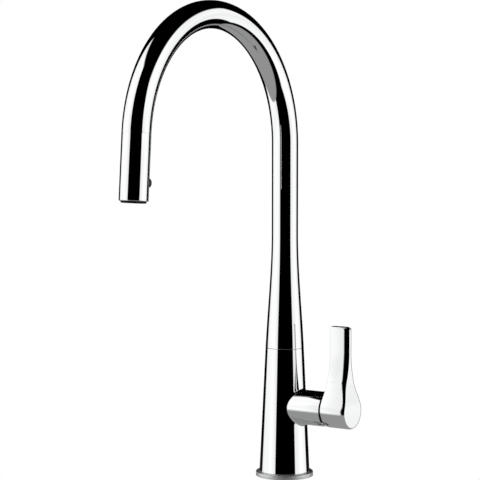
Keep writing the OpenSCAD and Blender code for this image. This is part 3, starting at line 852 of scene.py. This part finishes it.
def forgeLever():
    outline = leverOutline()
    rows = len(outline) - 1
    inner, outer = leverLow.x, leverHigh.x
    deselectAll()
    bpy.ops.mesh.primitive_grid_add(x_subdivisions=1, y_subdivisions=rows, size=2)
    piece = nameIt("handleLever")
    for name in ("row", "side"):
        piece.data.attributes.new(name, "FLOAT", "POINT")
    rowOf, sideOf = (piece.data.attributes[name].data for name in ("row", "side"))
    for vertex in piece.data.vertices:
        rowOf[vertex.index].value = round((vertex.co.y + 1) / 2 * rows)
        sideOf[vertex.index].value = 1 if vertex.co.x > 0 else -1
    edge = lever["edge"]

    def facetAt(height):
        share = narrowing(height)
        return [hub + (blade - hub) * share for hub, blade in zip(lever["facetHub"], lever["facetBlade"])]

    # Moves the selected cap to place, which gives x and how far the outline is drawn in
    def setRing(place):
        leaveEdit()
        rowOf, sideOf = (piece.data.attributes[name].data for name in ("row", "side"))
        for vertex in piece.data.vertices:
            if vertex.select:
                across, height, outAcross, outUp = outline[int(rowOf[vertex.index].value)]
                along, drawn = place(height)
                across = (across - outAcross * drawn) * sideOf[vertex.index].value
                vertex.co = Vector((along, across, valveHeight + height - outUp * drawn))

    def innerEdge(turn, more=0.0):
        return lambda height: (inner + edge * (1 - math.sin(turn)), edge * (1 - math.cos(turn)) + more)

    def alongFront(along):
        return lambda height: (along, 0)

    def alongFacet(share, turn=0.0, more=0.0):
        def place(height):
            width, depth = facetAt(height)
            along = outer - width * (1 - share) - edge * share * (1 - math.sin(turn))
            return along, depth * share + edge * (1 - math.cos(turn)) * (turn > 0) + more

        return place

    quarter, hold = math.pi / 2, lever["hold"]
    rings = [innerEdge(quarter, edge)]
    rings += [innerEdge(quarter * step / 3) for step in (3, 2, 1, 0)]
    rings += [alongFront(inner + 2 * edge)] + [alongFacet(share) for share in (-hold, 0, hold, 1 - hold)]
    rings += [alongFacet(1, quarter * step / 3) for step in (0, 1, 2, 3)]
    rings += [alongFacet(1, quarter, edge)]
    for index, place in enumerate(rings):
        if index == 0:
            piece.data.polygons.foreach_set("select", [True] * len(piece.data.polygons))
            piece.data.vertices.foreach_set("select", [True] * len(piece.data.vertices))
        else:
            bpy.ops.object.mode_set(mode="EDIT")
            if index == 1:
                bpy.ops.mesh.select_all(action="SELECT")
            bpy.ops.mesh.extrude_region_move()
        setRing(place)
    for name in ("row", "side"):
        piece.data.attributes.remove(piece.data.attributes[name])
    middle, halfHub = (inner + outer) / 2, (outer - inner) / 2
    halfBlade = lever["bladeWidth"] / 2
    corner = lever["corner"]

    def frontHalf(height):
        half = halfHub + (halfBlade - halfHub) * narrowing(height)
        over = height - (leverTop - corner)
        return half if over < 0 else half - corner + math.sqrt(max(corner**2 - over**2, 0))

    def narrow(place):
        height = place.z - valveHeight
        place.x = middle + (place.x - middle) * frontHalf(height) / halfHub
        if height < 0:
            place.x += -height * math.tan(lever["relief"]) * (outer - place.x) / (outer - inner)
        return place

    moveVertices(piece, narrow)
    closeUp(piece)
    grubLow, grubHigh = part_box("lever_grub_screw")
    grubAt = ((grubLow.x + grubHigh.x) / 2, 0, valveHeight - hubRadius - overrun)
    cutAway(piece, drillBit(lever["grub"], grubAt, straightUp, hubRadius, 32))
    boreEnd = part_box("cartridge_stem")[1].x + lever["stemRoom"]
    boreFrom = inner - overrun
    cutAway(piece, drillBit(lever["bore"], (boreFrom, 0, valveHeight), (1, 0, 0), boreEnd - boreFrom, 32))
    return finishPiece(piece, "chrome", "handle", "chrome_handle", "handle_lever", angle=40)


forgeLever()
tell("lever")


spray = {
    "sides": 128,
    "length": 0.0566,
    "gap": 0.00003,  # between the head and the end of the arch
    "wall": 0.0012,
    "lip": 0.01095,  # radius inside the turned-in end
    "lipHeight": 0.0016,
    "endEdge": 0.0008,
    "topEdge": 0.00004,
    "buttonHole": 0.0048,
}
button = {
    "height": 0.0405,  # down the head from the end of the arch
    "radius": 0.0045,
    "foot": 0.0084,  # from the head's middle line
    "out": 0.0063,
    "edge": 0.0012,
    "dish": ((0.5, 0), (0.42, 0.00025)),  # shares of the radius, and how deep
    "dishDepth": 0.0004,
}
spring = {
    "turns": 4,
    "steps": 30,  # rings of the wire in a turn
    "coil": 0.0022,
    "wire": 0.00022,
    "low": -0.00878,  # from the head's middle line, along the button
    "high": -0.00352,
    "sides": 12,
}
buttonPlace = (
    tipFrame
    @ Matrix.Translation((0, 0, button["height"]))
    @ Matrix.Rotation(math.pi / 2, 4, "X")
)  # its +Z runs out along the button


# Rings round a corner of the profile whose square corner is at radius, height
def quarterRound(radius, height, edge, outward, upward, steps=4):
    rings = []
    for step in range(steps + 1):
        turn = math.pi / 2 * step / steps
        out = radius - outward * edge * (1 - math.cos(turn))
        rings.append((out, height - upward * edge * (1 - math.sin(turn))))
    return rings


def turnSpray():
    outer, inner = tubeRadius, tubeRadius - spray["wall"]
    end, top = spray["length"], spray["gap"]
    rings = quarterRound(inner, top, spray["topEdge"], -1, -1)
    rings += quarterRound(outer, top, spray["topEdge"], 1, -1)[::-1]
    rings += quarterRound(outer, end, spray["endEdge"], 1, 1)
    rings += quarterRound(spray["lip"], end, spray["topEdge"], -1, 1)[::-1]
    rings += [(spray["lip"], end - spray["lipHeight"]), (inner, end - spray["lipHeight"]), rings[0]]
    piece = turnRings("sprayShell", rings, spray["sides"])
    closeUp(piece)
    cutAway(piece, drillBit(spray["buttonHole"], (0, 0, button["height"]), (0, -1, 0), 2 * outer))
    applyPlace(piece, tipFrame)
    return finishPiece(piece, "chrome", "spray_head", "chrome_spout", "spray_shell")


def mouldButton():
    top = tubeRadius + button["out"]
    radius, foot = button["radius"], button["foot"]
    rings = [(axis, foot), (radius, foot)] + quarterRound(radius, top, button["edge"], 1, 1, 6)
    rings += [(radius * share, top - deep) for share, deep in button["dish"]]
    rings.append((axis, top - button["dishDepth"]))
    piece = turnRings("diverterButton", rings, 64)
    closeUp(piece)
    applyPlace(piece, buttonPlace)
    return finishPiece(piece, "blackRubber", "button", "button_rubber", "diverter_button")


# The coil behind the button's spool
def windSpring():
    low, high = spring["low"], spring["high"]
    rows = spring["turns"] * spring["steps"] + 1

    def place(turn, row):
        share = row / (rows - 1)
        along = share * spring["turns"] * math.tau
        reach = spring["coil"] + spring["wire"] * math.cos(turn)
        rise = low + (high - low) * share + spring["wire"] * math.sin(turn)
        return Vector((reach * math.cos(along), reach * math.sin(along), rise))

    piece = wrapGrid("buttonSpring", spring["sides"], rows, place)
    selectEverything()
    bpy.ops.mesh.fill_holes(sides=0)
    applyPlace(piece, buttonPlace)
    bodies = ("spray_head", "button")
    ends = (buttonPlace @ Vector((0, 0, low)), buttonPlace @ Vector((0, 0, high)))
    return finishPiece(piece, "steel", bodies, "steel", "button_spring", angle=60, stretch=ends)


turnSpray()
mouldButton()
windSpring()
tell("spray head")


base = {
    "edge": 0.0006,
    "plate": (0.0216, 0.0182),  # radii of the ring that centres the body
    "plateHeight": 0.004,
    "bore": 0.0167,
    "groove": (0.0225, 0.0247),
    "grooveDepth": 0.002,
    "footEdge": 0.0002,
}


def turnFlange():
    radius, top = flangeHigh.y, shellLow.z
    plate, hollow = base["plate"]
    near, far = base["groove"]
    bore, deep, plateTop = base["bore"], base["grooveDepth"], top + base["plateHeight"]
    rings = [(bore, 0), (near, 0), (near, deep), (far, deep), (far, 0)]
    rings += quarterRound(radius, 0, base["footEdge"], 1, -1)[::-1]
    rings += quarterRound(radius, top, base["edge"], 1, 1)
    rings += [(plate, top), (plate, plateTop), (hollow, plateTop), (hollow, top), (bore, top), (bore, 0)]
    piece = turnRings("baseFlange", rings, 160)
    closeUp(piece)
    return finishPiece(piece, "satin", "base", "flange_metal", "base_flange")


turnFlange()
tell("base")


mounting = {
    "shankWall": 0.0015,
    "shankPitch": 0.0015,
    "shankCut": 0.0009,
    "shankEdge": 0.0006,
    "threadTop": 0.003,  # how far up the shank the thread runs
    "nutWidth": 0.046,
    "nutBore": 0.01655,
    "nutTurned": 0.0004,  # how far the cone cuts into its flats
    "screwRing": 0.02,
    "screwPitch": 0.0008,
    "screwCut": 0.00035,
    "screwEdge": 0.0005,
    "screwRoom": 0.00005,
    "socket": 0.0014,
    "socketDepth": 0.002,
    "way": 0.0169,  # bore of washer and gasket
    "couplingStep": 0.0012,
    "couplingHex": 0.008,  # height of the hexagon
    "couplingBores": (0.0061, 0.0035),
    "couplingDrills": (0.02, 0.01),  # how far each bore's drill goes
    "couplingFloor": 0.003,
    "couplingTurned": 0.0003,
    "ridge": (0.002, 0.0034),  # above the hexagon
    "ridgeIn": 0.0002,  # from the bore to the ridge
    "sealFlat": 0.03,  # share of the seal's thickness that is squeezed flat underneath
}


def cutShank():
    low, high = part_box("threaded_shank")
    radius, edge = high.y, mounting["shankEdge"]
    inner = radius - mounting["shankWall"]
    rows = [(inner, low.z + edge, 0), (inner + edge / 2, low.z, 0), (radius - 2 * edge, low.z, 0)]
    rows += threadRows(radius, low.z + edge, mounting["threadTop"], mounting["shankPitch"])
    rows += [(radius, high.z - edge / 2, 0), (radius - edge / 2, high.z, 0), (inner + edge / 2, high.z, 0)]
    rows += [(inner, high.z - edge / 2, 0), rows[0]]
    piece = windThread("threadedShank", rows, 72, mounting["shankPitch"], mounting["shankCut"])
    finishPiece(piece, "brass", "base", "brass", "threaded_shank", angle=50)


def layWashers():
    for name, node, finish, slot, edge in (
        ("deckGasket", "deck_gasket", "sealRubber", "seal_rubber", 0.0007),
        ("clampWasher", "clamp_washer", "steel", "steel", 0.0003),
    ):
        low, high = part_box(node)
        piece = turnPiece(name, ringCorners(high.y, mounting["way"], low.z, high.z, edge), 96)
        finishPiece(piece, finish, "base", slot, node, angle=50)


def cutShankNut():
    low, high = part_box("shank_nut")
    cornerRadius = mounting["nutWidth"] / 2 / math.cos(math.pi / 6)
    piece = cutHexagon("shankNut", cornerRadius, low.z, high.z, mounting["nutTurned"])
    start, length = low.z - overrun, high.z - low.z + 2 * overrun
    cutAway(piece, drillBit(mounting["nutBore"], (0, 0, start), straightUp, length, 72))
    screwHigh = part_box("clamp_screws")[1]
    for side in (-1, 1):
        place = (side * mounting["screwRing"], 0, start)
        cutAway(piece, drillBit(screwHigh.y + mounting["screwRoom"], place, straightUp, length, 32))
    finishPiece(piece, "brass", "base", "brass", "shank_nut")


def cutClampScrews():
    low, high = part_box("clamp_screws")
    radius, edge = high.y, mounting["screwEdge"]
    rows = [(axis, low.z, 0), (radius - edge, low.z, 0)]
    rows += threadRows(radius, low.z + edge, high.z - edge, mounting["screwPitch"])
    rows += [(radius - edge, high.z, 0), (axis, high.z, 0)]
    piece = windThread("clampScrewLeft", rows, 32, mounting["screwPitch"], mounting["screwCut"])
    length = mounting["socketDepth"] + overrun
    cutAway(piece, drillBit(mounting["socket"], (0, 0, low.z - overrun), straightUp, length, 6))
    applyPlace(piece, Matrix.Translation((-mounting["screwRing"], 0, 0)))
    other = copyPiece(piece, Matrix.Translation((2 * mounting["screwRing"], 0, 0)))
    other.name = "clampScrewRight"
    for screw in (piece, other):
        finishPiece(screw, "steel", "base", "steel", "clamp_screws", angle=50)


def turnCoupling():
    low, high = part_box("hose_coupling")
    radius, edge = (high.x - low.x) / 2, mounting["couplingTurned"]
    hexTop = low.z + mounting["couplingHex"]
    piece = cutHexagon("hoseCouplingNut", radius, low.z, hexTop, edge)
    wide, narrow = mounting["couplingBores"]
    wideWay, narrowWay = mounting["couplingDrills"]
    floor = low.z + mounting["couplingFloor"]
    cutAway(piece, drillBit(wide, (0, 0, floor), straightUp, wideWay, 48))
    cutAway(piece, drillBit(narrow, (0, 0, low.z - overrun), straightUp, narrowWay, 40))
    step = mounting["couplingStep"]
    ridgeLow, ridgeHigh = (hexTop + height for height in mounting["ridge"])
    sleeve = turnPiece("sleeve", ringCorners(radius - step, wide, hexTop - overrun / 2, high.z, edge))
    ridgeBore = wide + mounting["ridgeIn"]
    ridge = turnPiece("ridge", ringCorners(radius - step / 2, ridgeBore, ridgeLow, ridgeHigh, edge))
    joinPieces(piece, [sleeve, ridge])
    applyPlace(piece, Matrix.Translation(((low.x + high.x) / 2, 0, 0)))
    finishPiece(piece, "brass", "base", "brass", "hose_coupling")


def layFlangeSeal():
    low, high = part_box("flange_seal")
    minor = (high.z - low.z) / 2
    deselectAll()
    bpy.ops.mesh.primitive_torus_add(
        major_radius=high.y - minor,
        minor_radius=minor,
        major_segments=120,
        minor_segments=24,
        location=(0, 0, minor),
    )
    piece = nameIt("flangeSeal")
    applyPlace(piece)
    pick(piece, "FACE", lambda middle, normal: normal.z < -0.9)
    bpy.ops.transform.translate(value=(0, 0, minor * mounting["sealFlat"]))
    leaveEdit()
    finishPiece(piece, "sealRubber", "base", "seal_rubber", "flange_seal", angle=60)


cutShank()
layWashers()
cutShankNut()
cutClampScrews()
turnCoupling()
layFlangeSeal()
tell("mounting")


hose = {
    "radius": 0.006,
    "behind": 0.0074,  # how far behind the middle it runs past the valve
    "leans": (0.078, 0.128),  # heights between which it crosses to the middle
    "ease": math.radians(45),  # how much of the arch it takes to settle onto the spray head
    "straight": 0.002,
    "pulled": 0.0099,  # length above the hose nut
    "nutTop": 0.0241,
    "pulledSteps": 24,
    "sides": 40,
    "spacing": 0.004,
}


def tipPoint(along):
    return tipFrame @ Vector((0, 0, along))


def archPoint(turn, off=0.0):
    radius = archRadius + off
    return archCentre + Vector((0, radius * math.cos(turn), radius * math.sin(turn)))


# A round tube swept along points; across is a way that stays square to all of them
def sweepTube(name, points, across):
    across = Vector(across)
    frames = []
    for index, point in enumerate(points):
        ahead = (points[min(index + 1, len(points) - 1)] - points[max(index - 1, 0)]).normalized()
        frames.append((point, ahead.cross(across).normalized()))

    def place(turn, row):
        point, up = frames[row]
        return point + hose["radius"] * (math.cos(turn) * across + math.sin(turn) * up)

    piece = wrapGrid(name, hose["sides"], len(points), place)
    selectEverything()
    bpy.ops.mesh.fill_holes(sides=0)
    leaveEdit()
    return piece


def spread(start, end):
    count = max(2, round((end - start) / hose["spacing"]))
    return [start + (end - start) * step / count for step in range(count + 1)]


def layHose():
    leanLow, leanHigh = hose["leans"]
    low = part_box("spray_hose")[0].z
    lower = []
    for height in spread(low, leanHigh):
        share = smooth((height - leanLow) / (leanHigh - leanLow))
        lower.append(Vector((-hose["behind"] * (1 - share), 0, height)))
    piece = sweepTube("lowerHose", lower, (0, 1, 0))
    finishPiece(piece, "hoseWeave", "base", "hose_braid", "spray_hose", angle=60)

    settle = hose["nutTop"] + hose["straight"]
    nutTurn = math.atan(settle / archRadius)
    nutOff = archRadius / math.cos(nutTurn) - archRadius
    upper = [Vector((0, 0, height)) for height in spread(leanHigh, archCentre.z)]
    easeStart = archAngle - hose["ease"]
    upper += [archPoint(length / archRadius) for length in spread(0, easeStart * archRadius)[1:]]
    easeLength = (hose["ease"] - nutTurn) * archRadius
    for length in spread(0, easeLength)[1:-1]:
        share = 1 - length / easeLength
        off = nutOff * (2 * share**3 - 3 * share**2 + 1)
        off += settle * (hose["ease"] - nutTurn) * (share**3 - 2 * share**2 + share)
        turn = archAngle - nutTurn - (hose["ease"] - nutTurn) * share
        upper.append(archPoint(turn, off))
    joinAt = -hose["nutTop"] - hose["pulled"]
    fromTip = tipFrame.inverted()
    upper = [point for point in upper if point.y > -archRadius or (fromTip @ point).z < joinAt - overrun]
    upper.append(tipPoint(joinAt))
    piece = sweepTube("upperHose", upper, (1, 0, 0))
    finishPiece(piece, "hoseWeave", "spout", "hose_braid", "spray_hose", angle=60)

    steps = hose["pulledSteps"]
    drawn = [tipPoint(joinAt + hose["pulled"] * step / steps) for step in range(steps + 1)]
    piece = sweepTube("pulledHose", drawn, (1, 0, 0))
    bodies, ends = ("spout", "spray_head"), (drawn[0], drawn[-1])
    finishPiece(piece, "hoseWeave", bodies, "hose_braid", "spray_hose", angle=60, stretch=ends)


layHose()
tell("hose")


head = {
    "neckRadius": 0.0093,
    "neckUp": 0.014,
    "neckBore": 0.0056,
    "neckFlange": (0.00035, 0.003),
    "neckRoom": 0.0001,  # between the flange and the shell
    "grooves": (0.003, 0.0085),  # from the neck's top
    "grooveSize": (0.0007, 0.0016),
    "nutRadius": 0.008,
    "nutLength": 0.01,
    "nutTurned": 0.0003,
    "nutWay": 0.003,
    "tail": 0.005,
    "bushRadius": 0.01035,
    "collar": (0.01105, 0.0015),
    "bushBore": 0.00935,
    "bushUp": 0.012,
    "face": 0.0576,
    "faceLow": 0.0502,
    "nozzle": (0.01085, 0.0071),
    "rimOut": 0.00055,
    "rimWidth": 0.0007,
    "jets": 12,
    "jetRadius": 0.001,
    "jetTip": 0.86,  # share of its radius that a jet has left at its tip
    "jetHole": 0.0005,
    "jetOut": 0.0006,
    "jetDeep": (0.0012, 0.0016),  # its hole and its foot, below the face
    "strainer": 0.007,
    "strainerRim": (0.0009, 0.0008),
    "strainerLow": 0.047,
    "strainerDrill": (0.0045, 0.006),  # where it starts below the face, and its length
    "strainerHole": 0.00062,
    "strainerPitch": 0.00195,
}


def mouldNozzle():
    outer, inner = head["nozzle"]
    face, low = head["face"], head["faceLow"]
    rim, lip = face + head["rimOut"], outer - head["rimWidth"]
    corners = [(inner, low, 0.0002), (outer, low, 0.0002), (outer, rim, 0.0004), (lip, rim, 0.0002)]
    corners += [(lip - 0.0002, face, 0.0001), (inner, face, 0.0002)]
    piece = turnPiece("nozzleFace", corners, 96)
    ring = (outer + inner) / 2
    hole, radius, top = head["jetHole"], head["jetRadius"], face + head["jetOut"]
    holeFloor, foot = (face - deep for deep in head["jetDeep"])
    corners = [(axis, foot, 0), (radius, foot, 0), (radius, face - 0.00005, 0)]
    corners += [(radius * head["jetTip"], top, 0.00012), (hole, top, 0.00012)]
    corners += [(hole, holeFloor, 0), (axis, holeFloor, 0)]
    jets = [turnPiece("jet", corners, 20, closed=False)]
    applyPlace(jets[0], Matrix.Translation((ring, 0, 0)))
    seat = drillBit(radius * 0.98, (ring, 0, foot + 0.0001), straightUp, 0.003, 20)  # a little tight
    seats = [seat]
    for turn in range(1, head["jets"]):
        place = Matrix.Rotation(math.tau * turn / head["jets"], 4, "Z")
        jets.append(copyPiece(jets[0], place))
        seats.append(copyPiece(seats[0], place))
    cutAway(piece, joinPieces(seats[0], seats[1:]))
    joinPieces(piece, jets)
    applyPlace(piece, tipFrame)
    finishPiece(piece, "jetRubber", "spray_head", "button_rubber", "nozzle_face", angle=40)


def mouldStrainer():
    radius, low, face = head["strainer"], head["strainerLow"], head["face"]
    rimWidth, deep = head["strainerRim"]
    rim, plate = radius - rimWidth, face - deep
    corners = [(axis, low, 0), (radius, low, 0.0003), (radius, face, 0.0003), (rim, face, 0.0003)]
    corners += [(rim - 0.0003, plate, 0.0001), (axis, plate, 0)]
    piece = turnPiece("sprayStrainer", corners, 72, closed=False)
    pitch = head["strainerPitch"]
    start, length = head["strainerDrill"]
    bits = []
    for row in range(-2, 3):
        count = 5 - abs(row)
        for column in range(count):
            spot = ((column - (count - 1) / 2) * pitch, row * pitch * math.sqrt(3) / 2, face - start)
            bits.append(drillBit(head["strainerHole"], spot, straightUp, length, 6))
    cutAway(piece, joinPieces(bits[0], bits[1:]))
    applyPlace(piece, tipFrame)
    finishPiece(piece, "blackPlastic", "spray_head", "black_plastic", "aerator", angle=40)


def turnNeck():
    radius, rise, bore = head["neckRadius"], head["neckUp"], head["neckBore"]
    flangeTop, flangeFoot = head["neckFlange"]
    flange = tubeRadius - spray["wall"] - head["neckRoom"]
    depth, width = head["grooveSize"]
    corners = [(bore, -rise, 0.0004), (radius, -rise, 0.001)]
    for groove in head["grooves"]:
        start = groove - rise
        corners += [(radius, start, 0.0001), (radius - depth, start, 0.0001)]
        corners += [(radius - depth, start + width, 0.0001), (radius, start + width, 0.0001)]
    corners += [(radius, flangeTop, 0.0003), (flange, flangeTop, 0.0003)]
    corners += [(flange, flangeFoot, 0.0003), (bore, flangeFoot, 0.0003)]
    piece = turnPiece("sprayNeck", corners, 72)
    applyPlace(piece, tipFrame)
    finishPiece(piece, "blackPlastic", "spray_head", "black_plastic", "spray_neck", angle=40)


def turnGuide():
    collar, collarUp = head["collar"]
    radius, bore, top = head["bushRadius"], head["bushBore"], -head["bushUp"]
    corners = [(bore, top, 0.0004), (radius, top, 0.0004), (radius, -collarUp, 0.0002)]
    corners += [(collar, -collarUp, 0.0002), (collar, 0, 0.0003), (bore, 0, 0.0005)]
    piece = turnPiece("guideBush", corners, 72)
    applyPlace(piece, tipFrame)
    finishPiece(piece, "blackPlastic", "spout", "black_plastic", "guide_bush", angle=40)


def cutHoseNut():
    foot, way, edge = -head["neckUp"], head["nutWay"], head["nutTurned"]
    top = foot - head["nutLength"]
    piece = cutHexagon("hoseNut", head["nutRadius"], top, foot, edge)
    length = head["nutLength"] + 2 * overrun
    cutAway(piece, drillBit(way, (0, 0, top - overrun), straightUp, length, 40))
    corners = ringCorners(head["neckBore"] - head["neckRoom"], way, foot - edge, foot + head["tail"], 0.0004)
    joinPieces(piece, [turnPiece("tail", corners, 48)])
    applyPlace(piece, tipFrame)
    finishPiece(piece, "steel", "spray_head", "steel", "hose_nut")


mouldNozzle()
mouldStrainer()
turnNeck()
turnGuide()
cutHoseNut()
tell("spray head's fittings")
